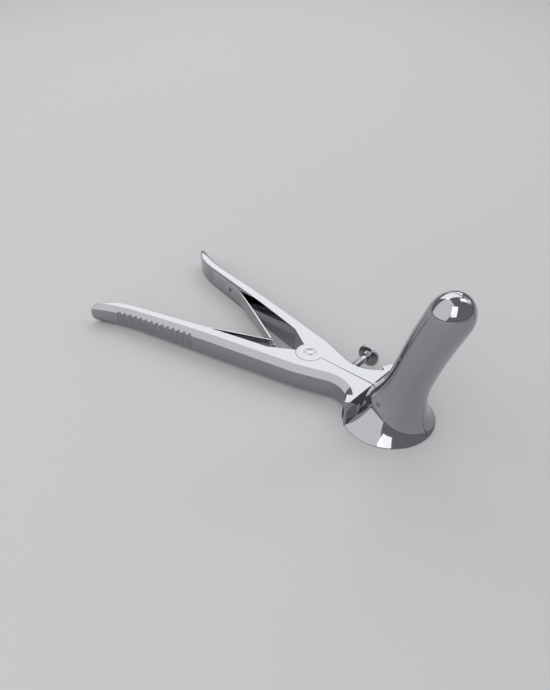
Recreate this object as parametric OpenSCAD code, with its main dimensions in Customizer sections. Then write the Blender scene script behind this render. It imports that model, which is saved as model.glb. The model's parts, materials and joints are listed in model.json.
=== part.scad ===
// Bivalve anal speculum with plier handles.
// Two forged halves turn on a lap joint. Squeezing the handles spreads two half-round blades
// that together make a closed finger with a flared foot. Two leaf springs hold the handles
// apart, and a thumb screw through the rear arm bears on the front arm to keep the blades open.
// The long axis is X, with the blades towards +X; the pivot axis is upright, and the foot and
// the handles stand on the plane z = 0. "Rear" is the half on the +Y side.

/* [Halves] */
// Height of the handles, laps and arms
body_h = 16; // [13:0.5:16.5]
// Gap between the two halves along the middle plane
split_gap = 0.3; // [0.2:0.05:0.8]
// Width of the 45 degree bevel along the outer edges
bevel = 3.2; // [1:0.1:4.5]

/* [Handles] */
// Length of a handle's straight part, measured along X from the pivot
straight_l = 104; // [89:1:119]
// Angle between a handle's outer face and the middle plane
spread = 11.3; // [10:0.1:13.5]
// Distance of the outer face from the middle plane abreast of the pivot
hip_y = 17.1; // [15:0.1:19]
// Thickness of the handle abreast of the pivot
root_t = 9.8; // [8:0.1:11]
// Thickness of the handle where it starts to curl
grip_t = 7; // [5.5:0.1:8.5]
// Radius of the outward curl on the outer face
curl_r = 100; // [80:1:130]
// Radius of the outward curl on the inner face
inner_curl_r = 53; // [48:1:58]
// How much later than the outer face the inner face starts to curl
curl_lag = 7; // [4:0.5:10]
// Radius of the handle's tip seen from above
tip_r = 2; // [1.5:0.1:2.5]

/* [Grip grooves] */
// Number of grooves across each handle's outer face
groove_n = 14; // [6:1:16]
// Distance between grooves
groove_pitch = 4; // [3.4:0.1:4.5]
// Radius of the round cutter that makes a groove
groove_r = 1.3; // [0.8:0.1:1.6]
// Depth of a groove in the outer face
groove_depth = 0.9; // [0.4:0.1:1.4]
// Distance from the start of the curl to the groove nearest the tip
groove_start = 13; // [6:1:18]

/* [Pivot] */
// Radius of the round laps
lap_r = 7.8; // [7:0.1:9]
// Gap between a lap and the pocket round it
lap_clear = 0.3; // [0.2:0.05:0.6]
// Gap between the two laps' faces
lap_gap = 0.2; // [0.1:0.05:0.4]
// Distance from the pivot at which a handle's inner face turns in to the laps
crotch_x = 21; // [19:0.5:24]
// Distance from the pivot to the inner corner of the crotch
crotch_r = 9.6; // [9:0.1:11]
// Angle of that corner from the long axis
crotch_a = 27; // [20:1:32]
// Radius of the pivot screw's shank
pivot_r = 2.4; // [1.8:0.1:3]
// Radius of the pivot screw's head
pivot_head_r = 3.3; // [3.2:0.1:4.2]
// Height of the pivot screw's head
pivot_head_h = 2; // [1.5:0.1:3]
// Radial running clearance of the pivot screw in the upper lap
pivot_clear = 0.05; // [0.02:0.01:0.1]
// Radial gap round the pivot screw's head
head_clear = 0.3; // [0.2:0.05:0.5]

/* [Arms] */
// Distance from the pivot at which the arm starts to narrow
hip_x = 2; // [0:0.5:6]
// Distance from the pivot to the narrowest place of the arm
throat_x = 25; // [23:0.5:27]
// Distance of the arm's outer face from the middle plane there
throat_y = 9.9; // [9:0.1:11]
// Radius of the throat, which sweeps out to the yoke
throat_r = 16; // [14:0.5:18]
// Distance from the pivot to the yoke's end wall
yoke_x = 45; // [43:0.5:47]
// Half width of the yoke's end wall
yoke_y = 16.5; // [14:0.5:18]
// Distance from the pivot to the yoke's horn
horn_x = 41.5; // [41:0.25:42.5]
// Half width of the yoke at its horn
horn_y = 20.8; // [20:0.1:21.5]
// Bevel over the yoke's end wall
yoke_bevel = 2.5; // [0.5:0.1:4]

/* [Blades] */
// Distance from the pivot to the middle of the foot's rim
foot_x = 54; // [52:0.5:56]
// Radius of the foot's rim
foot_r = 25; // [23:0.5:27]
// Radius of the closed blades just above the flare
neck_r = 12.5; // [11:0.1:14]
// Length of the flare along the blades' axis
flare_l = 30; // [26:0.5:34]
// Radius of the closed blades where the dome starts
dome_r = 11.2; // [10:0.1:13]
// Height of the dome
dome_h = 14; // [10:0.5:18]
// Length from the foot to the start of the dome, along the axis
blade_l = 79; // [70:1:92]
// Angle at which the blades lean away from the handles
lean = 19.5; // [15:0.5:24]
// Wall of the blades
wall = 1.6; // [1.2:0.1:2.2]

/* [Thumb screw] */
// Distance from the pivot to the thumb screw
set_x = 21; // [19:0.5:22]
// Height of the thumb screw above the floor
set_z = 9; // [8.5:0.25:10]
// Radius of the thumb screw's shank
set_r = 2; // [1.5:0.1:2.3]
// Radial running clearance of the thumb screw in the arm and in the knob's hub
set_clear = 0.05; // [0.02:0.01:0.1]
// Gap between the thumb screw's tip and the front arm
set_tip_gap = 0.6; // [0.4:0.1:1]
// Distance from the middle plane to the inner face of the knob
knob_y = 26; // [24:0.5:30]
// Radius of the knob
knob_r = 6.5; // [5:0.1:7.5]
// Thickness of the knob
knob_t = 2.2; // [1.6:0.1:3]
// Radius of the hub behind the knob
hub_r = 3.2; // [2.8:0.1:4]
// Length of the hub behind the knob
hub_l = 2; // [1:0.1:3]

/* [Leaf springs] */
// Width of a leaf
leaf_w = 9; // [7:0.5:11]
// Thickness of a leaf
leaf_t = 0.8; // [0.6:0.05:1]
// Distance from the pivot to a leaf's screw
leaf_screw_x = 90; // [85:0.5:95]
// Length of a leaf's foot behind its screw
leaf_tail = 11; // [7:0.5:14]
// Length of a leaf's foot ahead of its screw
leaf_lead = 6; // [5:0.5:9]
// Radius of the bend between a leaf's foot and its free arm
leaf_bend_r = 30; // [20:1:40]
// Distance from the pivot to the place where the leaves meet
leaf_meet_x = 40; // [36:0.5:44]
// Width of a leaf where its free arm ends
leaf_tip_w = 6; // [5:0.5:7]
// Distance of a leaf's far face from the middle plane where the leaves meet
leaf_tip_y = 1.1; // [1.1:0.1:2]
// Length of the rear leaf's tongue past the meeting place
tongue_l = 4; // [2.5:0.5:6]
// Length of the front leaf's fork past the meeting place
fork_l = 2.5; // [1.5:0.5:4]
// Width of the rear leaf's tongue
tongue_w = 3; // [2:0.1:4]
// Gap between the tongue and each prong of the fork
tongue_clear = 0.4; // [0.3:0.1:0.8]
// Radius of the head of a leaf's screw
leaf_head_r = 2.6; // [2.2:0.1:3.2]
// Height of the head of a leaf's screw
leaf_head_h = 1.3; // [1:0.1:1.8]
// Radius of the shank of a leaf's screw
leaf_shank_r = 1.4; // [1:0.1:1.6]
// Depth of a leaf's screw in the handle
leaf_shank_l = 4.5; // [3:0.5:5]
// Radial gap round the shank of a leaf's screw
leaf_shank_clear = 0.05; // [0.02:0.01:0.1]

/* [Hidden] */

eps = 0.01;
over = 1;
round_fn = 96;
seam = 0.05;
end_edge = 0.6;
curl_sweep = 40;
curl_overlap = 5;
pivot_dome_h = 0.5;
pivot_foot_z = 0.4;
set_tip_l = 1.5;
set_tip_inset = 0.6;
knob_edge = 0.6;
leaf_head_edge = 0.4;
arm_taper = 1.5;
half = split_gap / 2;
lap_z = body_h / 2;

function unit(v) = v / norm(v);
function turn(v, a) = [v[0] * cos(a) - v[1] * sin(a), v[0] * sin(a) + v[1] * cos(a)];
function heading(v) = atan2(v[1], v[0]);

// Where two circles meet, on the side that lies to the left of the way from c1 to c2
function circles_meet(c1, r1, c2, r2) =
    let (d = norm(c2 - c1), along = (r1 * r1 - r2 * r2 + d * d) / (2 * d), u = unit(c2 - c1))
    c1 + along * u + sqrt(r1 * r1 - along * along) * turn(u, -90);

// Outer face of a handle, a straight line and then an arc that curls outward
outer_n = [sin(spread), cos(spread)];
curl_start = [-straight_l, hip_y + straight_l * tan(spread)];
curl_c = curl_start + curl_r * outer_n;
hip = [hip_x, hip_y - hip_x * tan(spread)];

// Inner face of a handle, which tapers from root_t to grip_t
inner_root = [0, hip_y - root_t / cos(spread)];
inner_far = [-straight_l, curl_start[1] - grip_t / cos(spread)];
inner_dir = unit(inner_far - inner_root);
inner_n = turn(inner_dir, -90);
inner_slope = (inner_far[1] - inner_root[1]) / straight_l;
function inner_at(x) = [-x, inner_root[1] + x * inner_slope];
inner_curl_start = inner_at(straight_l + curl_lag);
inner_curl_c = inner_curl_start + inner_curl_r * inner_n;

// Tip of a handle, a small circle that touches both faces
tip_c = circles_meet(curl_c, curl_r + tip_r, inner_curl_c, inner_curl_r - tip_r);
tip_n = unit(tip_c - curl_c);
tip_dir = turn(tip_n, -90);
tip_outer = curl_c + curl_r * tip_n;
tip_inner = inner_curl_c + inner_curl_r * unit(tip_c - inner_curl_c);
inner_sweep = heading(-inner_n) - heading(tip_inner - inner_curl_c);
inner_curl_corner = inner_curl_start + inner_curl_r * tan(inner_sweep / 2) * inner_dir;

// Radius of a handle's end seen from the side; it leaves a fine edge at the top and bottom
end_r = body_h / 2 + end_edge;

// Throat of an arm: the line from the hip touches a circle that sweeps out to the yoke
throat_c = [throat_x, throat_y + throat_r];
throat_in = heading(throat_c - hip) - asin(throat_r / norm(throat_c - hip));
throat_start = throat_c + throat_r * turn([0, -1], throat_in);
throat_bevel_end = 52;

// Crotch of the handles, where the inner faces turn in to the laps
crotch_far = inner_at(crotch_x);
crotch_near = crotch_r * [-cos(crotch_a), sin(crotch_a)];

// Blades: rings stand on a leaning axis, level at the rim and square to the axis at the neck
axis_dir = [sin(lean), cos(lean)];
flare_r = (flare_l * flare_l + pow(foot_r - neck_r, 2)) / (2 * (foot_r - neck_r));
ring_n = 24;
flare_n = 10;
tube_n = 6;
dome_n = 8;
function flare_slope(s) = asin((flare_l - s) / flare_r);
function flare_at(s) = neck_r + flare_r * (1 - cos(flare_slope(s)));
function tube_at(s) = neck_r + (dome_r - neck_r) * (s - flare_l) / (blade_l - flare_l);

// Each profile row is [place along the axis, radius, tilt of the ring]
flare_rows = [for (i = [0:flare_n]) let (s = flare_l * i / flare_n)
    [s, flare_at(s), lean * i / flare_n]];
flare_rows_in = [for (row = flare_rows)
    [row[0], row[1] - wall / cos(flare_slope(row[0])), row[2]]];
tube_rows = [for (i = [1:tube_n]) let (s = flare_l + (blade_l - flare_l) * i / tube_n)
    [s, tube_at(s), lean]];
tube_rows_in = [for (row = tube_rows) [row[0], row[1] - wall, row[2]]];
function dome_rows(inset) = [for (i = [1:dome_n - 1])
    [blade_l + (dome_h - inset) * sin(90 * i / dome_n), (dome_r - inset) * cos(90 * i / dome_n),
     lean]];

outer_rows = concat(flare_rows, tube_rows, dome_rows(0));
inner_rows = concat(flare_rows_in, tube_rows_in, dome_rows(wall));

function axis_point(s) = [foot_x + s * axis_dir[0], s * axis_dir[1]];
function ring_point(row, a) =
    let (c = axis_point(row[0]), x = row[1] * cos(a))
    [c[0] + x * cos(row[2]), half + row[1] * sin(a), c[1] - x * sin(row[2])];
function half_ring(row) = [for (j = [0:ring_n]) ring_point(row, 180 * j / ring_n)];
function pole(s) = let (c = axis_point(s)) [c[0], half, c[1]];

// Places on the leaf springs; the free arm runs from the bend to the middle plane
leaf_seat = inner_at(leaf_screw_x);
leaf_in = -inner_n;
leaf_fwd = -inner_dir;
leaf_foot_end = leaf_seat + leaf_lead * leaf_fwd;
leaf_bend_c = leaf_foot_end + leaf_bend_r * leaf_in;
leaf_goal = [-leaf_meet_x, leaf_tip_y];
leaf_reach = norm(leaf_goal - leaf_bend_c);
leaf_turn = heading(-leaf_in) - heading(leaf_goal - leaf_bend_c) - acos(leaf_bend_r / leaf_reach);
leaf_arm_l = sqrt(leaf_reach * leaf_reach - leaf_bend_r * leaf_bend_r);
leaf_bend_end = leaf_bend_c - leaf_bend_r * turn(leaf_in, -leaf_turn);
leaf_arm_dir = turn(leaf_fwd, -leaf_turn);
leaf_bend_n = 12;

// The origin is in the middle of the whole object's length
x_low = tip_c[0] - tip_r;
x_high = axis_point(blade_l)[0] + norm([dome_r * cos(lean), dome_h * sin(lean)]);
x_mid = (x_low + x_high) / 2;

module placed() translate([-x_mid, 0, 0]) children();

// A bar with the bevel's triangular section that cuts an edge of a straight face
module bevel_bar(from, to, upper)
    translate([from[0], from[1], upper ? body_h : 0]) rotate([0, 0, heading(to - from)])
        mirror([0, 0, upper ? 1 : 0]) rotate([90, 0, 90])
            linear_extrude(norm(to - from))
                polygon([[over, -over], [-bevel - over, -over], [over, bevel + over]]);

// The same cut along a face that is an arc with its centre outside the metal
module bevel_ring(c, r, start, sweep, upper)
    translate([c[0], c[1], upper ? body_h : 0]) rotate([0, 0, start])
        mirror([0, 0, upper ? 1 : 0]) rotate_extrude(angle = sweep, $fn = round_fn)
            polygon([[r - over, -over], [r + bevel + over, -over], [r - over, bevel + over]]);

// All bevels along the outer edges of a half
module bevels()
    for (upper = [false, true]) {
        bevel_bar(curl_start, hip, upper);
        bevel_ring(curl_c, curl_r, 270 - spread - curl_sweep, curl_sweep + curl_overlap, upper);
        bevel_bar(hip, throat_start, upper);
        bevel_ring(throat_c, throat_r, 270 + throat_in + seam, throat_bevel_end - throat_in, upper);
    }

// Half of the object seen from above, on the +Y side
module half_plan() {
    difference() {
        union() {
            polygon([[yoke_x, half], [yoke_x, yoke_y], [horn_x, horn_y], throat_c, throat_start,
                     hip, curl_start, inner_far, crotch_far, crotch_near, [0, half]]);
            handle_end_plan();
        }
        translate(throat_c) circle(throat_r, $fn = round_fn);
    }
}

// The curled end of a handle seen from above
module handle_end_plan() {
    difference() {
        union() {
            polygon([inner_far, inner_curl_start, curl_start]);
            intersection() {
                translate(inner_curl_c) circle(inner_curl_r, $fn = round_fn);
                polygon([inner_curl_start, inner_curl_corner, tip_inner, tip_outer, curl_start]);
            }
        }
        translate(curl_c) circle(curl_r, $fn = round_fn);
    }
    translate(tip_c) circle(tip_r, $fn = round_fn);
}

// Cuts a handle's end so that it is round seen from the side
module round_end_cut() {
    middle = tip_c - (end_r - tip_r) * tip_dir;
    width = 3 * body_h;
    translate([middle[0], middle[1], body_h / 2]) rotate([0, 0, heading(tip_dir)]) difference() {
        translate([0, -width / 2, -body_h]) cube([end_r + over, width, 2 * body_h]);
        rotate([90, 0, 0])
            cylinder(h = width + 2 * over, r = end_r, center = true, $fn = round_fn);
    }
}

// Upright grooves across the outer face, spaced along its arc and its straight part
module grip_grooves()
    for (i = [0:groove_n - 1]) {
        s = i * groove_pitch - groove_start;
        out = groove_r - groove_depth;
        at = s < 0 ? curl_c + (curl_r - out) * turn(-outer_n, s * 180 / (PI * curl_r))
                   : curl_start + s * turn([1, 0], -spread) + out * outer_n;
        translate([at[0], at[1], -over])
            cylinder(h = body_h + 2 * over, r = groove_r, $fn = 32);
    }

// Outer surface of a closed blade as a solid plug, for seating the yoke on the blade
module blade_plug() {
    rows = concat([[-over, foot_r, 0]], flare_rows);
    rings = [for (row = rows) concat(half_ring(row),
        [ring_point(row, 180) - [0, over, 0], ring_point(row, 0) - [0, over, 0]])];
    k = ring_n + 3;
    n = len(rings);
    sides = [for (i = [0:n - 2], j = [0:k - 1]) let (a = i * k + j, b = i * k + (j + 1) % k)
        each [[a, b + k, b], [a, a + k, b + k]]];
    bottom = [[for (j = [0:k - 1]) j]];
    top = [[for (j = [0:k - 1]) n * k - 1 - j]];
    polyhedron([for (ring = rings) each ring], concat(sides, bottom, top), convexity = 6);
}

// One half on the +Y side, forged in one piece; its lap lies above or below the other's
module half_body(lap_on_top) {
    own_z = lap_on_top ? lap_z + lap_gap / 2 : 0;
    other_z = lap_on_top ? -over : lap_z - lap_gap / 2;
    difference() {
        union() {
            difference() {
                linear_extrude(body_h) half_plan();
                round_end_cut();
                bevels();
                translate([0, 0, other_z])
                    cylinder(h = lap_z + lap_gap / 2 + over, r = lap_r + lap_clear, $fn = round_fn);
                grip_grooves();
                blade_plug();
                yoke_wall_bevel();
            }
            translate([0, 0, own_z])
                cylinder(h = lap_z - lap_gap / 2, r = lap_r, $fn = round_fn);
        }
        leaf_screw_hole();
    }
}

// Slope over the top edge of the yoke's end wall
module yoke_wall_bevel()
    translate([yoke_x, 0, body_h]) rotate([90, 0, 0])
        linear_extrude(3 * horn_y, center = true)
            polygon([[-yoke_bevel - over, over], [over, over], [over, -yoke_bevel - over]]);

// Puts what follows on the handle's inner face at the leaf's screw, with +Z into the handle
module at_leaf_screw()
    translate([leaf_seat[0], leaf_seat[1], body_h / 2])
        rotate([-90, 0, heading(inner_n) - 90]) children();

module leaf_screw_hole()
    at_leaf_screw() translate([0, 0, -over])
        cylinder(h = leaf_shank_l + over + leaf_shank_clear, r = leaf_shank_r + leaf_shank_clear,
                 $fn = 32);

module rear_handle() placed() color("silver") difference() {
    half_body(true);
    translate([0, 0, -over])
        cylinder(h = body_h + 2 * over, r = pivot_r + pivot_clear, $fn = 48);
    translate([0, 0, body_h - pivot_head_h])
        cylinder(h = pivot_head_h + over, r = pivot_head_r + head_clear, $fn = 48);
    translate([set_x, -over, set_z]) rotate([-90, 0, 0])
        cylinder(h = throat_y + throat_r, r = set_r + set_clear, $fn = 48);
}

module front_handle() placed() color("silver") difference() {
    mirror([0, 1, 0]) half_body(false);
    translate([0, 0, -over])
        cylinder(h = body_h + 2 * over, r = pivot_r + pivot_clear / 2, $fn = 48);
}

// Half of the closed finger on the +Y side, open at the foot
module half_blade() {
    m = ring_n + 1;
    n = len(outer_rows);
    outer = concat([for (row = outer_rows) each half_ring(row)], [pole(blade_l + dome_h)]);
    inner = concat([for (row = inner_rows) each half_ring(row)], [pole(blade_l + dome_h - wall)]);
    io = n * m + 1;
    skin = [for (i = [0:n - 2], j = [0:m - 2]) let (a = i * m + j)
        each [[a, a + m + 1, a + 1], [a, a + m, a + m + 1]]];
    skin_in = [for (f = skin) [f[2] + io, f[1] + io, f[0] + io]];
    cap = [for (j = [0:m - 2]) let (a = (n - 1) * m + j) [a, n * m, a + 1]];
    cap_in = [for (f = cap) [f[2] + io, f[1] + io, f[0] + io]];
    rim = [for (j = [0:m - 2]) each [[j, j + 1, j + 1 + io], [j, j + 1 + io, j + io]]];
    edge0 = [for (i = [0:n - 1]) let (a = i * m, b = i < n - 1 ? a + m : n * m)
        each [[a, b + io, b], [a, a + io, b + io]]];
    edge1 = [for (i = [0:n - 1]) let (a = i * m + m - 1, b = i < n - 1 ? a + m : n * m)
        each [[a, b, b + io], [a, b + io, a + io]]];
    polyhedron(concat(outer, inner),
               concat(skin, skin_in, cap, cap_in, rim, edge0, edge1), convexity = 8);
}

module rear_blade() placed() color("gainsboro") half_blade();
module front_blade() placed() color("gainsboro") mirror([0, 1, 0]) half_blade();

// Shank through both laps, with a low domed head sunk in the upper one
module pivot_screw() placed() color("gray") {
    head_z = body_h - pivot_head_h;
    dome_ball = (pow(pivot_head_r, 2) + pow(pivot_dome_h, 2)) / (2 * pivot_dome_h);
    translate([0, 0, pivot_foot_z]) cylinder(h = head_z - pivot_foot_z + eps, r = pivot_r, $fn = 48);
    intersection() {
        translate([0, 0, head_z])
            cylinder(h = pivot_head_h + pivot_dome_h, r = pivot_head_r, $fn = 48);
        translate([0, 0, body_h + pivot_dome_h - dome_ball]) sphere(dome_ball, $fn = round_fn);
    }
}

// Threaded shank of the thumb screw, with a short plain tip
module set_screw() placed() color("gray")
    translate([set_x, half + set_tip_gap, set_z]) rotate([-90, 0, 0]) {
        cylinder(h = set_tip_l, r1 = set_r - set_tip_inset, r2 = set_r, $fn = 48);
        translate([0, 0, set_tip_l])
            cylinder(h = knob_y - half - set_tip_gap - set_tip_l, r = set_r, $fn = 48);
    }

// Thin disc with rounded edges and a hub, fixed on the end of the shank
module set_screw_knob() placed() color("silver")
    translate([set_x, knob_y, set_z]) rotate([-90, 0, 0]) {
        translate([0, 0, -hub_l]) difference() {
            cylinder(h = hub_l + eps, r = hub_r, $fn = 48);
            translate([0, 0, -over]) cylinder(h = hub_l + over, r = set_r + set_clear, $fn = 48);
        }
        cylinder(h = knob_edge, r1 = knob_r - knob_edge, r2 = knob_r, $fn = round_fn);
        translate([0, 0, knob_edge])
            cylinder(h = knob_t - 2 * knob_edge, r = knob_r, $fn = round_fn);
        translate([0, 0, knob_t - knob_edge])
            cylinder(h = knob_edge, r1 = knob_r, r2 = knob_r - knob_edge, $fn = round_fn);
    }

// A leaf's face seen from above, at a depth below the face that lies on the handle
function leaf_face(arm_l, depth) = concat(
    [leaf_seat - leaf_tail * leaf_fwd + depth * leaf_in],
    [for (i = [0:leaf_bend_n])
        leaf_bend_c - (leaf_bend_r - depth) * turn(leaf_in, -leaf_turn * i / leaf_bend_n)],
    [leaf_bend_end + arm_l * leaf_arm_dir + depth * turn(leaf_in, -leaf_turn)]);

// A leaf seen from above: a foot on the handle's face, a bend and a straight free arm
module leaf_plan(arm_l) {
    far_face = leaf_face(arm_l, leaf_t);
    n = len(far_face);
    polygon(concat(leaf_face(arm_l, 0), [for (i = [1:n]) far_face[n - i]]));
}

// Puts what follows at the start of the free arm: +X along it, +Y up
module at_leaf_arm()
    translate([leaf_bend_end[0], leaf_bend_end[1], body_h / 2])
        rotate([90, 0, heading(leaf_arm_dir)]) children();

// The free arm narrows to its tip; the rear leaf ends in a tongue and the front one in a fork
module leaf_spring(with_tongue) {
    end_l = leaf_arm_l + (with_tongue ? tongue_l : fork_l);
    start_w = leaf_tip_w + (leaf_w - leaf_tip_w) * arm_taper;
    difference() {
        translate([0, 0, (body_h - leaf_w) / 2]) linear_extrude(leaf_w) leaf_plan(end_l);
        at_leaf_screw() translate([0, 0, -leaf_t - over])
            cylinder(h = leaf_t + 2 * over, r = leaf_shank_r + leaf_shank_clear, $fn = 32);
        for (side = [-1, 1]) at_leaf_arm() translate([0, 0, -over])
            linear_extrude(leaf_t + 2 * over)
                polygon([[0, side * start_w / 2], [leaf_arm_l, side * leaf_tip_w / 2],
                         [leaf_arm_l, side * (with_tongue ? tongue_w : leaf_tip_w) / 2],
                         [end_l + over, side * (with_tongue ? tongue_w : leaf_tip_w) / 2],
                         [end_l + over, side * leaf_w], [0, side * leaf_w]]);
        if (!with_tongue)
            at_leaf_arm() translate([leaf_arm_l, -tongue_w / 2 - tongue_clear, -over])
                cube([fork_l + over, tongue_w + 2 * tongue_clear, leaf_t + 2 * over]);
    }
}

module rear_leaf_spring() placed() color("lightsteelblue") leaf_spring(true);
module front_leaf_spring() placed() color("lightsteelblue") mirror([0, 1, 0]) leaf_spring(false);

// Low round-headed screw that holds a leaf's foot on the handle
module leaf_screw() at_leaf_screw() {
    translate([0, 0, -leaf_t]) cylinder(h = leaf_shank_l + leaf_t, r = leaf_shank_r, $fn = 32);
    translate([0, 0, -leaf_t - leaf_head_h]) {
        cylinder(h = leaf_head_edge, r1 = leaf_head_r - leaf_head_edge, r2 = leaf_head_r, $fn = 48);
        translate([0, 0, leaf_head_edge])
            cylinder(h = leaf_head_h - leaf_head_edge, r = leaf_head_r, $fn = 48);
    }
}

module rear_leaf_screw() placed() color("gray") leaf_screw();
module front_leaf_screw() placed() color("gray") mirror([0, 1, 0]) leaf_screw();

front_handle();
rear_handle();
front_blade();
rear_blade();
pivot_screw();
set_screw();
set_screw_knob();
front_leaf_spring();
rear_leaf_spring();
front_leaf_screw();
rear_leaf_screw();
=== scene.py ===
import json
import math

import bmesh
import bpy
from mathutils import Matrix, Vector


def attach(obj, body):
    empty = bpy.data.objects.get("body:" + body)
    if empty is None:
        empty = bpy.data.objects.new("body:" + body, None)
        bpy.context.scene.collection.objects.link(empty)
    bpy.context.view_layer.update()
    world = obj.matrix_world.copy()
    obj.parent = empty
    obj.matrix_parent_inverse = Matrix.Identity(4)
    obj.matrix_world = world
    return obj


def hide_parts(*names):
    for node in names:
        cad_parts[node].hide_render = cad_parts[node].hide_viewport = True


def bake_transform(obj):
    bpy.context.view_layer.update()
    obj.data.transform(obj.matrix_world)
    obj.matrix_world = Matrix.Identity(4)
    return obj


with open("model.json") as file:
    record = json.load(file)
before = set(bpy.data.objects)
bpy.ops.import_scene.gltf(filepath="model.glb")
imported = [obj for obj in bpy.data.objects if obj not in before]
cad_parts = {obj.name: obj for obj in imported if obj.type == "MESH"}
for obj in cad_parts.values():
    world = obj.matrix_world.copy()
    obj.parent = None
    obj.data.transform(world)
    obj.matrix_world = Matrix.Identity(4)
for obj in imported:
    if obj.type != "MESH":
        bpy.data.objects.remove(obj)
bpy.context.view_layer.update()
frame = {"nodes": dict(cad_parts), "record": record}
joints = {j["name"]: j for j in frame["record"]["behaviour"]["joints"]}
PIVOT_X = joints["handle_pivot"]["pos_m"][0]
MM = 0.001


# ---------------------------------------------------------------- materials
def new_material(name):
    mat = bpy.data.materials.new(name)
    mat.use_nodes = True
    nodes = mat.node_tree.nodes
    nodes.clear()
    out = nodes.new("ShaderNodeOutputMaterial")
    bsdf = nodes.new("ShaderNodeBsdfPrincipled")
    mat.node_tree.links.new(bsdf.outputs["BSDF"], out.inputs["Surface"])
    return mat, nodes, mat.node_tree.links, bsdf


def polished_steel(name, tint, rough, smear=(1.0, 1.0, 1.0), wear=0.05, bump=0.02):
    """Polished steel with faint haze and hairline polishing marks."""
    mat, nodes, links, bsdf = new_material(name)
    bsdf.inputs["Metallic"].default_value = 1.0
    bsdf.inputs["Base Color"].default_value = (*tint, 1.0)
    coords = nodes.new("ShaderNodeTexCoord")
    stretch = nodes.new("ShaderNodeMapping")
    stretch.inputs["Scale"].default_value = smear
    links.new(coords.outputs["Object"], stretch.inputs["Vector"])
    haze = nodes.new("ShaderNodeTexNoise")
    haze.inputs["Scale"].default_value = 90.0
    haze.inputs["Detail"].default_value = 6.0
    haze.inputs["Roughness"].default_value = 0.6
    links.new(coords.outputs["Object"], haze.inputs["Vector"])
    spread = nodes.new("ShaderNodeMapRange")
    spread.inputs["From Min"].default_value = 0.3
    spread.inputs["From Max"].default_value = 0.75
    spread.inputs["To Min"].default_value = rough
    spread.inputs["To Max"].default_value = rough + wear
    links.new(haze.outputs["Fac"], spread.inputs["Value"])
    links.new(spread.outputs["Result"], bsdf.inputs["Roughness"])
    marks = nodes.new("ShaderNodeTexNoise")
    marks.inputs["Scale"].default_value = 900.0
    marks.inputs["Detail"].default_value = 3.0
    links.new(stretch.outputs["Vector"], marks.inputs["Vector"])
    relief = nodes.new("ShaderNodeBump")
    relief.inputs["Strength"].default_value = bump
    relief.inputs["Distance"].default_value = 0.0002
    links.new(marks.outputs["Fac"], relief.inputs["Height"])
    links.new(relief.outputs["Normal"], bsdf.inputs["Normal"])
    return mat


STEEL = polished_steel("polished_steel", (0.37, 0.375, 0.39), 0.06, (1.0, 1.0, 0.15))
BLADE = polished_steel("blade_steel", (0.37, 0.375, 0.39), 0.045, (1.0, 1.0, 0.2), 0.04, 0.012)
SPRING = polished_steel("spring_steel", (0.42, 0.425, 0.435), 0.12, (0.1, 0.1, 1.0))
SCREW = polished_steel("screw_steel", (0.4, 0.405, 0.415), 0.1)
KNOB = polished_steel("knob_steel", (0.4, 0.405, 0.415), 0.08)


# ---------------------------------------------------------------- pieces
def add_piece(name, mesh, mat, body, slot, *nodes):
    obj = bpy.data.objects.new(name, mesh)
    bpy.context.collection.objects.link(obj)
    mesh.materials.clear()
    mesh.materials.append(mat)
    if body:
        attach(obj, body)
    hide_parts(*nodes)
    return obj


def mesh_from(name, verts, faces, sharp=None):
    """A smooth mesh; edges bent by more than the sharp angle stay crisp."""
    mesh = bpy.data.meshes.new(name)
    mesh.from_pydata(verts, [], faces)
    bm = bmesh.new()
    bm.from_mesh(mesh)
    bmesh.ops.remove_doubles(bm, verts=bm.verts, dist=1e-6)
    bmesh.ops.recalc_face_normals(bm, faces=bm.faces)
    for face in bm.faces:
        face.smooth = True
    if sharp:
        for edge in bm.edges:
            edge.smooth = not (len(edge.link_faces) == 2
                               and edge.calc_face_angle() > math.radians(sharp))
    bm.to_mesh(mesh)
    bm.free()
    return mesh


def eased_bmesh(node, radius, angle, segments):
    """The node's surface in the row frame, its corners rounded a little as polishing does."""
    source = frame["nodes"][node]
    bm = bmesh.new()
    bm.from_mesh(source.data)
    bmesh.ops.transform(bm, matrix=source.matrix_world, verts=bm.verts)
    bmesh.ops.remove_doubles(bm, verts=bm.verts, dist=2e-6)
    bmesh.ops.dissolve_limit(bm, angle_limit=math.radians(0.4), verts=bm.verts, edges=bm.edges)
    sharp = [e for e in bm.edges
             if len(e.link_faces) == 2 and e.calc_face_angle() > math.radians(angle)]
    bmesh.ops.bevel(bm, geom=sharp, offset=radius, offset_type="OFFSET", segments=segments,
                    profile=0.5, affect="EDGES", clamp_overlap=True)
    return bm


def smooth_finish(bm, mesh, crisp=35.0):
    for face in bm.faces:
        face.smooth = True
    for edge in bm.edges:
        edge.smooth = not (len(edge.link_faces) == 2
                           and edge.calc_face_angle() > math.radians(crisp))
    bm.to_mesh(mesh)
    bm.free()


# Places on the handles' plan, in millimetres from the pivot, for the half on the +Y side
SPREAD, HIP_Y, STRAIGHT_L = math.radians(11.3), 17.1, 104.0
BODY_H, BEVEL, GRIP_T, ROOT_T = 16.0, 3.2, 7.0, 9.8
THROAT_C, THROAT_R = Vector((25.0, 25.9)), 16.0
HIP = Vector((2.0, HIP_Y - 2.0 * math.tan(SPREAD)))
to_throat = THROAT_C - HIP
throat_in = math.atan2(to_throat.y, to_throat.x) - math.asin(THROAT_R / to_throat.length)
THROAT_START = THROAT_C + THROAT_R * Vector((math.sin(throat_in), -math.cos(throat_in)))
INNER_SLOPE = (math.tan(SPREAD) + (ROOT_T - GRIP_T) / math.cos(SPREAD) / STRAIGHT_L)
TIP = Vector((-136.1, 48.0))
TIP_DIR = Vector((-0.872, 0.49)).normalized()


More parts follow.
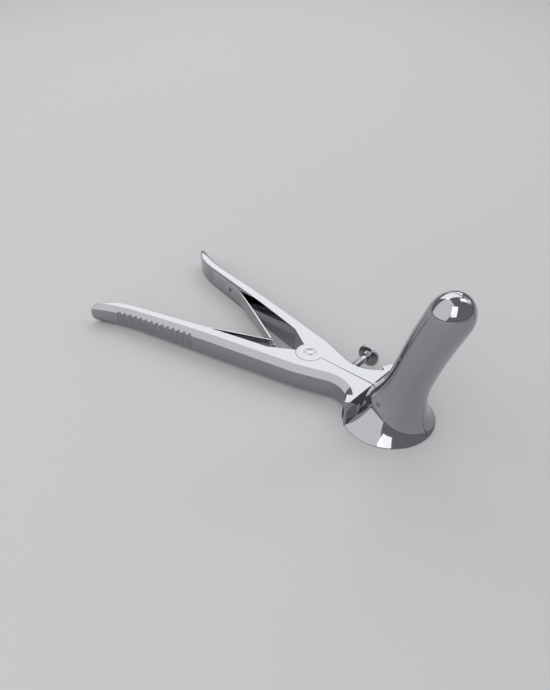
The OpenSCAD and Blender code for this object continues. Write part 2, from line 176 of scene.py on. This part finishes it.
def close_bevel_seam(bm, side, corner):
    """Takes out the hair-thin fin that is left where two cuts of the bevel meet."""
    place = Vector((PIVOT_X + corner.x * MM, side * corner.y * MM))
    near = [v for v in bm.verts if (v.co.xy - place).length < 0.06 * MM]
    low, high = (BEVEL - 0.1) * MM, (BODY_H - BEVEL + 0.1) * MM
    fin = [v for v in near if v.co.z < low or v.co.z > high]
    bmesh.ops.dissolve_verts(bm, verts=fin)
    spots = [v for v in bm.verts if (v.co.xy - place).length < (BEVEL + 0.3) * MM]
    bmesh.ops.remove_doubles(bm, verts=spots, dist=0.03 * MM)


def widen_split(bm, side, ease):
    """Opens the line between the two arms a little, as on the real one."""
    for v in bm.verts:
        if abs(v.co.y) < 0.2 * MM and v.co.x > PIVOT_X + 9.0 * MM:
            v.co.y += side * ease


def round_tip(bm, side):
    """Rounds the handle's end like the bowl of a spoon, and lowers it a little towards the tip."""
    tip = Vector((PIVOT_X + TIP.x * MM, side * TIP.y * MM, 0.0))
    out = Vector((TIP_DIR.x, side * TIP_DIR.y, 0.0))
    across = Vector((-out.y, out.x, 0.0))

    def depth(co):
        return -(co - tip).dot(out) / MM

    cuts = [(tip - out * (0.7 * k * MM), out) for k in range(1, 24)]
    cuts += [(Vector((0.0, 0.0, z * MM)), Vector((0.0, 0.0, 1.0))) for z in range(1, 16)]
    cuts += [(tip + across * (w * MM), across) for w in (-6, -5, -4, -3, -2, -1, 0, 1, 2, 3)]
    for point, normal in cuts:
        faces = [f for f in bm.faces if depth(f.calc_center_median()) < 16.5
                 or min(depth(v.co) for v in f.verts) < 14.0]
        edges = list({e for f in faces for e in f.edges})
        verts = list({v for f in faces for v in f.verts})
        bmesh.ops.bisect_plane(bm, geom=verts + edges + faces, dist=1e-7, plane_co=point,
                               plane_no=normal)
    end = [v for v in bm.verts if depth(v.co) < 15.0]
    for _ in range(80):
        moved = {}
        for v in end:
            ring = [e.other_vert(v).co for e in v.link_edges]
            mean = sum(ring, Vector()) / len(ring)
            pull = min(1.0, max(0.0, 1.0 - depth(v.co) / 15.0)) * 0.6
            moved[v] = v.co.lerp(mean, pull)
        for v, co in moved.items():
            v.co = co
    short = min(depth(v.co) for v in end)
    for v in end:
        t = max(0.0, 1.0 - depth(v.co) / 15.0)
        v.co += out * (short * t ** 0.5 * MM)


def lower_end(mesh):
    """The handle loses a little height along its last stretch, and its foot stays on the floor."""
    for v in mesh.vertices:
        x = (PIVOT_X - v.co.x) / MM
        t = min(1.0, max(0.0, (x - 45.0) / 90.0))
        v.co.z *= 1.0 - 0.17 * t * t * (3 - 2 * t)


def forging(node, name, body, side):
    source = frame["nodes"][node]
    bm = bmesh.new()
    bm.from_mesh(source.data)
    bmesh.ops.transform(bm, matrix=source.matrix_world, verts=bm.verts)
    bmesh.ops.remove_doubles(bm, verts=bm.verts, dist=2e-6)
    bmesh.ops.dissolve_limit(bm, angle_limit=math.radians(0.4), verts=bm.verts, edges=bm.edges)
    close_bevel_seam(bm, side, THROAT_START)
    close_bevel_seam(bm, side, HIP)
    widen_split(bm, side, 0.14 * MM)
    sharp = [e for e in bm.edges
             if len(e.link_faces) == 2 and e.calc_face_angle() > math.radians(28.0)]
    bmesh.ops.bevel(bm, geom=sharp, offset=0.3 * MM, offset_type="OFFSET", segments=3,
                    profile=0.5, affect="EDGES", clamp_overlap=True)
    for k in range(76):
        bmesh.ops.bisect_plane(bm, geom=bm.verts[:] + bm.edges[:] + bm.faces[:], dist=1e-7,
                               plane_co=(PIVOT_X + (43.7 - 2.3 * k) * MM, 0.0, 0.0),
                               plane_no=(1.0, 0.0, 0.0))
    round_tip(bm, side)
    mesh = bpy.data.meshes.new(name)
    smooth_finish(bm, mesh)
    lower_end(mesh)
    obj = add_piece(name, mesh, STEEL, body, "forged_steel", node)
    weigh = obj.modifiers.new("weigh", "WEIGHTED_NORMAL")
    weigh.keep_sharp = True
    return obj


forging("front_handle", "front_forging", "front_half", -1)
forging("rear_handle", "rear_forging", "rear_half", 1)

# Blades: the leaning loft of the CAD, much finer, with rounded lips and rim (millimetres)
FOOT_X, FOOT_R, NECK_R, FLARE_L = 54.0, 25.0, 12.5, 30.0
DOME_R, DOME_H, BLADE_L, LEAN, WALL, HALF_GAP = 11.2, 13.95, 79.0, math.radians(19.5), 1.6, 0.15
FLARE_R = (FLARE_L ** 2 + (FOOT_R - NECK_R) ** 2) / (2 * (FOOT_R - NECK_R))
LIP = 0.28
RIM = 0.3
SEAT_S, WAIST_S = 16.0, 38.0
WAIST_R, BOW = 10.8, 1.2


def ease(low, high, value):
    t = min(1.0, max(0.0, (value - low) / (high - low)))
    return t * t * (3 - 2 * t)


def blade_outer(s):
    """The CAD's radius up to the yoke's seat, and from there on the finger's slight waist."""
    if s < FLARE_L:
        outer = NECK_R + FLARE_R * (1 - math.cos(math.asin((FLARE_L - s) / FLARE_R)))
    else:
        outer = NECK_R + (DOME_R - NECK_R) * (s - FLARE_L) / (BLADE_L - FLARE_L)
    slim = WAIST_R + (DOME_R - WAIST_R) * ease(WAIST_S, BLADE_L, s)
    return outer + (min(outer, slim) - outer) * ease(SEAT_S, WAIST_S, s)


def blade_section(s):
    """Outer radius, inner radius and tilt of the ring at a place along the axis."""
    outer = blade_outer(s)
    slope = math.atan((blade_outer(max(s - 0.05, 0.0)) - blade_outer(s + 0.05))
                      / (s + 0.05 - max(s - 0.05, 0.0)))
    return outer, outer - WALL / math.cos(slope), LEAN * min(1.0, s / FLARE_L)


def bow(s):
    """How far the finger's axis bends back between the seat and the dome."""
    t = min(1.0, max(0.0, (s - SEAT_S) / (BLADE_L + DOME_H - SEAT_S)))
    return BOW * math.sin(math.pi * t) ** 2


def blade_rows():
    """Rows of outer place and radius, inner place and radius, and tilt, from the rim to the pole."""
    rows = []
    for k in range(5):
        a = math.radians(-90 + 135 * k / 4)
        s = RIM + RIM * math.sin(a)
        r_in = blade_section(s)[1]
        rows.append((s, FOOT_R - (1 + math.sqrt(2)) * RIM + RIM * math.cos(a), s, r_in, 0.0))
    start = rows[-1][0]
    stations = [start + (FLARE_L - start) * i / 44 for i in range(1, 45)]
    stations += [FLARE_L + (BLADE_L - FLARE_L) * i / 24 for i in range(1, 25)]
    for s in stations:
        r_out, r_in, tilt = blade_section(s)
        rows.append((s, r_out, s, r_in, tilt))
    for i in range(1, 33):
        a = math.radians(90.0 * i / 32)
        c = math.cos(a) if i < 32 else 0.0
        rows.append((BLADE_L + DOME_H * math.sin(a), DOME_R * c,
                     BLADE_L + (DOME_H - WALL) * math.sin(a), (DOME_R - WALL) * c, LEAN))
    return rows


def blade_mesh(name, side, around=80):
    verts, loop_len = [], 0
    for s_out, r_out, s_in, r_in, tilt in blade_rows():
        thick = math.hypot(s_out - s_in, r_out - r_in)
        lip = min(LIP, r_in / 3)

        def lip_point(phi, inner):
            u = lip * (1 - math.cos(phi)) / thick
            u = 1 - u if inner else u
            y = lip * (1 - math.sin(phi))
            r = r_out + (r_in - r_out) * u
            return s_out + (s_in - s_out) * u, math.sqrt(max(r * r - y * y, 0.0)), y

        def arc(s, r):
            lift = math.asin(min(1.0, lip / r)) if r > 1e-9 else 0.0
            turns = [lift + (math.pi - 2 * lift) * j / around for j in range(around + 1)]
            return [(s, r * math.cos(a), r * math.sin(a)) for a in turns]

        corner = [math.radians(30.0 * k) for k in (1, 2, 3)]
        edge = ([lip_point(a, False) for a in corner]
                + [lip_point(a, True) for a in reversed(corner)])
        loop = (arc(s_out, r_out) + [(s, -x, y) for s, x, y in edge]
                + arc(s_in, r_in)[::-1] + [(s, x, y) for s, x, y in edge][::-1])
        loop_len = len(loop)
        for s, x, y in loop:
            cx, cz = FOOT_X + s * math.sin(LEAN) - bow(s), s * math.cos(LEAN)
            verts.append((PIVOT_X + (cx + x * math.cos(tilt)) * MM, side * (HALF_GAP + y) * MM,
                          (cz - x * math.sin(tilt)) * MM))
    faces = []
    rows = len(verts) // loop_len
    for i in range(rows - 1):
        for j in range(loop_len):
            a, b = i * loop_len + j, i * loop_len + (j + 1) % loop_len
            faces.append((a, b, b + loop_len, a + loop_len))
    # Underside of the rim, between the outer and inner arcs of the first row
    inner_first = around + 1 + 6
    for j in range(around):
        faces.append((j + 1, j, inner_first + around - j, inner_first + around - j - 1))
    lip_a = list(range(around, inner_first + 1))
    lip_b = list(range(inner_first + around, loop_len)) + [0]
    faces.append(tuple(lip_a))
    faces.append(tuple(lip_b))
    return mesh_from(name, verts, faces, sharp=60.0)


add_piece("front_blade_shell", blade_mesh("front_blade_shell", -1), BLADE, "front_half",
          "blade_steel", "front_blade")
add_piece("rear_blade_shell", blade_mesh("rear_blade_shell", 1), BLADE, "rear_half",
          "blade_steel", "rear_blade")


# Leaf springs: eased copies cut across every few millimetres
def stretch_leaf(bm, side):
    """Lengthens the free arm and the foot's tail, which stays on the handle's inner face."""
    for v in bm.verts:
        x = (v.co.x - PIVOT_X) / MM
        if x > -84.0:
            v.co.x = PIVOT_X + (-84.0 + (x + 84.0) * 1.24) * MM
        elif x < -95.0:
            shift = (x + 95.0) * 1.3
            v.co.x += shift * MM
            v.co.y -= side * INNER_SLOPE * shift * MM


def leaf_piece(node, name, side):
    bm = eased_bmesh(node, 0.12 * MM, 28.0, 2)
    stretch_leaf(bm, side)
    for k in range(36):
        x = PIVOT_X - (88.3 - 1.8 * k) * MM
        bmesh.ops.bisect_plane(bm, geom=bm.verts[:] + bm.edges[:] + bm.faces[:], dist=1e-7,
                               plane_co=(x, 0.0, 0.0), plane_no=(1.0, 0.0, 0.0))
    mesh = bpy.data.meshes.new(name)
    smooth_finish(bm, mesh)
    obj = add_piece(name, mesh, SPRING, None, "spring_steel", node)
    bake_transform(obj)
    return obj


leaf_piece("front_leaf_spring", "front_leaf", -1)
leaf_piece("rear_leaf_spring", "rear_leaf", 1)


# Turned parts, each a profile of (place along the axis, radius) swept round
def lathe(name, profile, origin, axis_x, axis_y, axis_z, around=64, ripple=None):
    verts, faces = [], []
    n = len(profile)
    for j in range(around):
        a = 2 * math.pi * j / around
        for k, (z, r) in enumerate(profile):
            if ripple:
                r = ripple(a, z, r)
            p = origin + axis_x * (r * math.cos(a) * MM) + axis_y * (r * math.sin(a) * MM)
            verts.append(tuple(p + axis_z * (z * MM)))
    for j in range(around):
        for k in range(n - 1):
            a, b = j * n + k, ((j + 1) % around) * n + k
            faces.append((a, b, b + 1, a + 1))
    return mesh_from(name, verts, faces, sharp=50.0)


def rounded(points, radius, steps=4):
    """A profile with each inner corner replaced by a short arc-like curve."""
    out = [points[0]]
    for p0, p1, p2 in zip(points, points[1:], points[2:]):
        a, b, c = Vector(p0), Vector(p1), Vector(p2)
        reach = min(radius, (a - b).length * 0.45, (c - b).length * 0.45)
        start, end = b + (a - b).normalized() * reach, b + (c - b).normalized() * reach
        for i in range(steps + 1):
            t = i / steps
            out.append(tuple(start * (1 - t) ** 2 + b * 2 * t * (1 - t) + end * t ** 2))
    out.append(points[-1])
    return out


SET_ORIGIN = Vector((PIVOT_X + 21.0 * MM, 0.0, 9.0 * MM))
UNIT_X, UNIT_Y, UNIT_Z = Vector((1, 0, 0)), Vector((0, 1, 0)), Vector((0, 0, 1))


def set_screw_mesh():
    """Shank with a rolled thread that stops short of the knob."""
    tip, thread_end, end, pitch = 0.75, 20.5, 25.92, 0.7
    steps = int((thread_end - tip) / pitch * 10)
    profile = [(tip, 0.0), (tip, 1.35)]
    profile += [(tip + (thread_end - tip) * i / steps, 2.0) for i in range(1, steps)]
    profile += [(thread_end, 2.0), (end, 2.0), (end, 0.0)]

    def ripple(a, z, r):
        if r < 1.4 or z >= thread_end or z <= tip:
            return r
        t = ((z - a * pitch / (2 * math.pi)) / pitch) % 1.0
        depth = 0.34 * (0.5 + 0.5 * math.cos(2 * math.pi * t))
        fade = min(1.0, (thread_end - z) / 1.5)
        point = max(0.0, 1.0 - (z - tip) / 1.2) * 0.5
        return r - depth * fade - point

    return lathe("set_screw_thread", profile, SET_ORIGIN, UNIT_Z, UNIT_X, UNIT_Y, 40, ripple)


add_piece("thumb_screw_shank", set_screw_mesh(), SCREW, "thumb_screw", "screw_steel", "set_screw")

# Knob: hub, disc with a rounded double rim and fine knurling round the edge
KNOB_PROFILE = (
    [(26.0, 0.0), (26.0, 2.05), (24.0, 2.05), (24.0, 2.9), (24.3, 3.2)]
    + rounded([(24.3, 3.2), (25.7, 3.2), (26.0, 3.6), (26.0, 6.0), (26.35, 6.5), (26.95, 6.5),
               (27.1, 6.3), (27.25, 6.5), (27.85, 6.5), (28.2, 6.0), (28.2, 4.6), (27.9, 4.2),
               (27.9, 0.6)], 0.25)
    + [(27.9, 0.0)])


def knurl(a, z, r):
    return r - (0.07 * (0.5 + 0.5 * math.cos(60 * a)) if r > 6.35 else 0.0)


knob_mesh = lathe("thumb_knob_disc", KNOB_PROFILE, Vector((SET_ORIGIN.x, 0.0, SET_ORIGIN.z)),
                  UNIT_Z, UNIT_X, UNIT_Y, 360, knurl)
add_piece("thumb_knob_disc", knob_mesh, KNOB, "thumb_knob", "knob_steel", "set_screw_knob")


# Screw heads with a driver slot, cut in the profile's top faces
def slotted_head(name, profile, origin, axis_z, slot_w, slot_d, slot_turn, rim_r):
    """A turned head; a boolean cut leaves the driver slot."""
    side = UNIT_X if abs(axis_z.dot(UNIT_X)) < 0.9 else UNIT_Y
    axis_x = (side - axis_z * side.dot(axis_z)).normalized()
    axis_y = axis_z.cross(axis_x)
    mesh = lathe(name, profile, origin, axis_x, axis_y, axis_z, 72)
    body = bpy.data.objects.new(name, mesh)
    bpy.context.collection.objects.link(body)
    top = max(z for z, r in profile)
    along = axis_x * math.cos(slot_turn) + axis_y * math.sin(slot_turn)
    across = axis_z.cross(along)
    corners = []
    for u in (-rim_r * 1.2, rim_r * 1.2):
        for v in (-slot_w / 2, slot_w / 2):
            for w in (top - slot_d, top + 1.0):
                corners.append(tuple(origin + (along * u + across * v + axis_z * w) * MM))
    cutter_mesh = bpy.data.meshes.new(name + "_slot")
    cutter_mesh.from_pydata(corners, [], [(0, 1, 3, 2), (4, 6, 7, 5), (0, 4, 5, 1), (2, 3, 7, 6),
                                          (0, 2, 6, 4), (1, 5, 7, 3)])
    cutter = bpy.data.objects.new(name + "_slot", cutter_mesh)
    bpy.context.collection.objects.link(cutter)
    cut = body.modifiers.new("slot", "BOOLEAN")
    cut.operation = "DIFFERENCE"
    cut.solver = "EXACT"
    cut.object = cutter
    bpy.context.view_layer.update()
    cut_mesh = bpy.data.meshes.new_from_object(body.evaluated_get(bpy.context.evaluated_depsgraph_get()))
    bpy.data.objects.remove(cutter)
    bpy.data.objects.remove(body)
    bm = bmesh.new()
    bm.from_mesh(cut_mesh)
    smooth_finish(bm, cut_mesh, 40.0)
    return cut_mesh


def head_profile(foot, shank_r, seat, head_r, edge_z, top, edge):
    dome = [(edge_z + (top - edge_z) * math.sin(math.radians(90 * i / 10)),
             (head_r - edge) * math.cos(math.radians(90 * i / 10))) for i in range(1, 11)]
    return ([(foot, 0.0), (foot, shank_r), (seat, shank_r), (seat, head_r),
             (edge_z - edge, head_r), (edge_z - edge * 0.3, head_r - edge * 0.3),
             (edge_z, head_r - edge)] + dome[:-1] + [(top, 0.0)])


# Pivot: its head is peened nearly flush, with a low domed middle
PIVOT_PROFILE = (
    [(0.4, 0.0), (0.4, 2.2), (0.6, 2.4), (14.0, 2.4), (14.0, 3.3)]
    + rounded([(14.0, 3.3), (14.2, 3.52), (15.93, 3.52), (15.97, 3.2), (15.95, 2.75), (15.82, 2.62),
               (16.12, 2.35), (16.38, 1.2)], 0.2)
    + [(16.42, 0.6), (16.43, 0.0)])
pivot_mesh = lathe("pivot_screw_head", PIVOT_PROFILE, Vector((PIVOT_X, 0.0, 0.0)),
                   UNIT_X, UNIT_Y, UNIT_Z, 96)
add_piece("pivot_screw_head", pivot_mesh, SCREW, "front_half", "screw_steel", "pivot_screw")

bpy.context.view_layer.update()


# Leaf screws: low round heads with a slot, standing on the leaf's foot
def leaf_screw_piece(node, name, body):
    source = frame["nodes"][node]
    points = [source.matrix_world @ v.co for v in source.data.vertices]
    side = 1.0 if sum(p.y for p in points) > 0 else -1.0
    root = Vector((0.0, HIP_Y - ROOT_T / math.cos(SPREAD)))
    far = Vector((-STRAIGHT_L, HIP_Y + STRAIGHT_L * math.tan(SPREAD) - GRIP_T / math.cos(SPREAD)))
    slope = (far.y - root.y) / (far.x - root.x)
    seat = Vector((PIVOT_X - 90.0 * MM, side * (root.y - 90.0 * slope) * MM, 8.0 * MM))
    along = Vector((1.0, side * slope, 0.0)).normalized()
    out = Vector((along.y, -along.x, 0.0)) * side
    mesh = slotted_head(name, head_profile(-4.5, 1.4, 0.8, 2.6, 1.7, 2.1, 0.4), seat, out,
                        0.55, 0.6, math.radians(35.0), 2.6)
    add_piece(name, mesh, SCREW, body, "screw_steel", node)


leaf_screw_piece("front_leaf_screw", "front_leaf_screw_head", "front_half")
leaf_screw_piece("rear_leaf_screw", "rear_leaf_screw_head", "rear_half")


# ---------------------------------------------------------------- stage
def flat_material(name, colour, rough):
    mat, nodes, links, bsdf = new_material(name)
    bsdf.inputs["Base Color"].default_value = (*colour, 1.0)
    bsdf.inputs["Roughness"].default_value = rough
    bsdf.inputs["Specular IOR Level"].default_value = 0.2
    return mat


FLOOR = flat_material("floor_paper", (0.52, 0.52, 0.52), 0.9)
bpy.ops.mesh.primitive_plane_add(size=6.0, location=(0.0, 0.0, 0.0))
floor = bpy.context.object
floor.name = "floor"
floor.data.materials.append(FLOOR)

world = bpy.data.worlds.new("studio")
bpy.context.scene.world = world
world.use_nodes = True
world.node_tree.nodes["Background"].inputs["Color"].default_value = (0.9, 0.93, 1.0, 1.0)
world.node_tree.nodes["Background"].inputs["Strength"].default_value = 0.3

AZIMUTH = math.radians(41.6)
ELEVATION = math.radians(36.0)
FOCAL_PX = 750.0
PX_PER_MM = 1.8
PIVOT_PX = (310.0, 352.0)
FRAME_PX = (550.0, 690.0)
forward = Vector((-math.sin(AZIMUTH) * math.cos(ELEVATION),
                  math.cos(AZIMUTH) * math.cos(ELEVATION),
                  -math.sin(ELEVATION)))
right = Vector((math.cos(AZIMUTH), math.sin(AZIMUTH), 0.0))
up = right.cross(forward)


def soft_box(name, direction, distance, width, height, power, target=(0.03, 0.0, 0.02)):
    """An area lamp out along a direction, turned to face the object."""
    lamp = bpy.data.lights.new(name, "AREA")
    lamp.shape = "RECTANGLE"
    lamp.size = width
    lamp.size_y = height
    lamp.energy = power
    obj = bpy.data.objects.new(name, lamp)
    bpy.context.collection.objects.link(obj)
    aim = Vector(direction).normalized()
    obj.location = Vector(target) + aim * distance
    obj.rotation_euler = aim.to_track_quat("Z", "Y").to_euler()
    return obj


def toward(azimuth, elevation):
    """Direction at an angle clockwise from straight behind the object, and above the horizon."""
    a = AZIMUTH - math.radians(azimuth)
    e = math.radians(elevation)
    return Vector((-math.sin(a) * math.cos(e), math.cos(a) * math.cos(e), math.sin(e)))


soft_box("key", toward(0, 40), 1.3, 1.35, 1.1, 8.1)
soft_box("side", toward(-104, 38), 0.95, 1.9, 1.4, 8.4)
soft_box("strip", toward(-170, 40), 1.1, 0.5, 0.9, 3.0)
soft_box("rim", toward(72, 45), 1.0, 0.3, 0.9, 2.0)

camera_data = bpy.data.cameras.new("camera")
camera = bpy.data.objects.new("camera", camera_data)
bpy.context.collection.objects.link(camera)
bpy.context.scene.camera = camera
camera_data.lens = FOCAL_PX * camera_data.sensor_width / FRAME_PX[1]
ray = (forward + right * (PIVOT_PX[0] - FRAME_PX[0] / 2) / FOCAL_PX
       - up * (PIVOT_PX[1] - FRAME_PX[1] / 2) / FOCAL_PX)
camera.location = Vector((PIVOT_X, 0.0, 0.016)) - ray * (FOCAL_PX / PX_PER_MM * MM)
camera.rotation_euler = (math.radians(90.0) - ELEVATION, 0.0, AZIMUTH)
camera_data.clip_start = 0.01

bpy.context.scene.view_settings.view_transform = "Standard"
